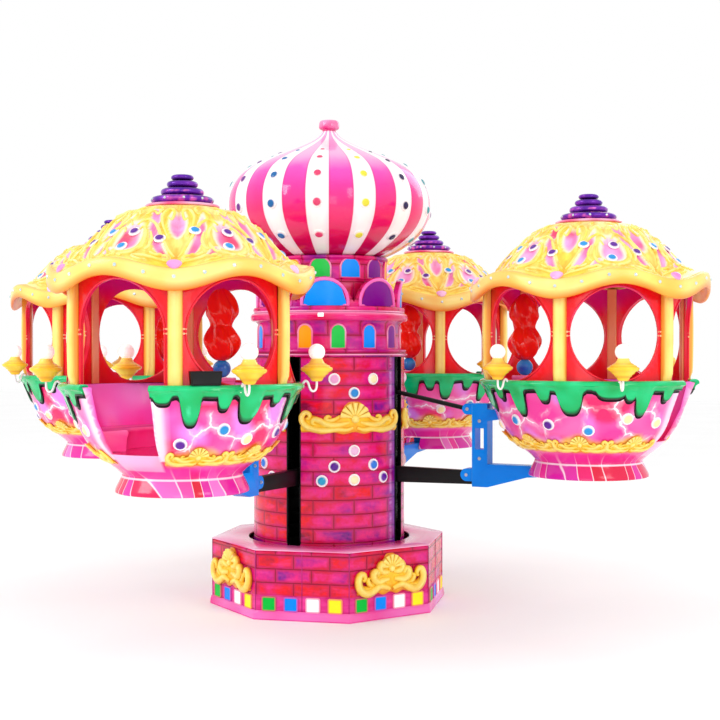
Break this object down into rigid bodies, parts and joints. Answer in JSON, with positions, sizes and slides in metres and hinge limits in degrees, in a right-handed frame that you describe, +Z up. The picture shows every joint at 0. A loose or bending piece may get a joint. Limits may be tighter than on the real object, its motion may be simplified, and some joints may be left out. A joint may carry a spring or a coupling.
{
  "type": "fairground carousel",
  "caption": "Children's fairground carousel: round brick-patterned tower with onion dome on an octagonal base, arms carrying roofed cup-shaped cabins that circle and rise.",
  "frame": {"origin": "centre of the base's underside, on the tower's axis, which is the turning axis", "axes": "+Z up along the tower's axis; -Y along the arm of the first cabin, +X along the arm of the second; the camera of the picture stands about 27 degrees from -Y towards +X"},
  "size_m": [6.508, 6.508, 4.2],
  "materials": {
    "brick_moulding": "airbrushed gloss paint on glass-fibre moulding",
    "pale_moulding": "airbrushed gloss paint on glass-fibre moulding",
    "yellow_moulding": "airbrushed gloss paint on glass-fibre moulding",
    "red_moulding": "gloss paint on glass-fibre moulding",
    "green_moulding": "gloss paint on glass-fibre moulding",
    "purple_moulding": "gloss paint on glass-fibre moulding",
    "steel": "grey primed welded steel",
    "black_enamel": "satin black enamel",
    "blue_enamel": "gloss blue enamel"
  },
  "bodies": {
    "base": {"base_shell": "brick_moulding", "base_pedestal": "steel"},
    "tower": {"turntable": "steel", "mast": "steel", "lower_drum": "brick_moulding", "crown": "pale_moulding", "upper_drum": "brick_moulding", "dome": "pale_moulding", "dome_finial": "brick_moulding", "tower_wall_1": "brick_moulding", "tower_wall_2": "brick_moulding", "tower_wall_3": "brick_moulding", "tower_wall_4": "brick_moulding"},
    "lift": {"carriage": "black_enamel", "arm_1": "black_enamel", "arm_2": "black_enamel", "arm_3": "black_enamel", "arm_4": "black_enamel", "stay_1": "black_enamel", "stay_2": "black_enamel", "stay_3": "black_enamel", "stay_4": "black_enamel", "bracket_1": "blue_enamel", "bracket_2": "blue_enamel", "bracket_3": "blue_enamel", "bracket_4": "blue_enamel", "bowl_1": "pale_moulding", "bowl_2": "pale_moulding", "bowl_3": "pale_moulding", "bowl_4": "pale_moulding", "bench_1": "brick_moulding", "bench_2": "brick_moulding", "bench_3": "brick_moulding", "bench_4": "brick_moulding", "ornament_1": "red_moulding", "ornament_2": "red_moulding", "ornament_3": "red_moulding", "ornament_4": "red_moulding", "rim_icing_1": "green_moulding", "rim_icing_2": "green_moulding", "rim_icing_3": "green_moulding", "rim_icing_4": "green_moulding", "arcade_1": "red_moulding", "arcade_2": "red_moulding", "arcade_3": "red_moulding", "arcade_4": "red_moulding", "roof_1": "yellow_moulding", "roof_2": "yellow_moulding", "roof_3": "yellow_moulding", "roof_4": "yellow_moulding", "roof_cap_1": "purple_moulding", "roof_cap_2": "purple_moulding", "roof_cap_3": "purple_moulding", "roof_cap_4": "purple_moulding"}
  },
  "joints": [
    {"name": "tower_turn", "type": "hinge", "parent": "base", "child": "tower", "pos_m": [0, 0, 0.43], "axis": [0, 0, 1], "continuous": true},
    {"name": "carriage_lift", "type": "slide", "parent": "tower", "child": "lift", "axis": [0, 0, 1], "range_m": [-0.46, 0.22]}
  ]
}
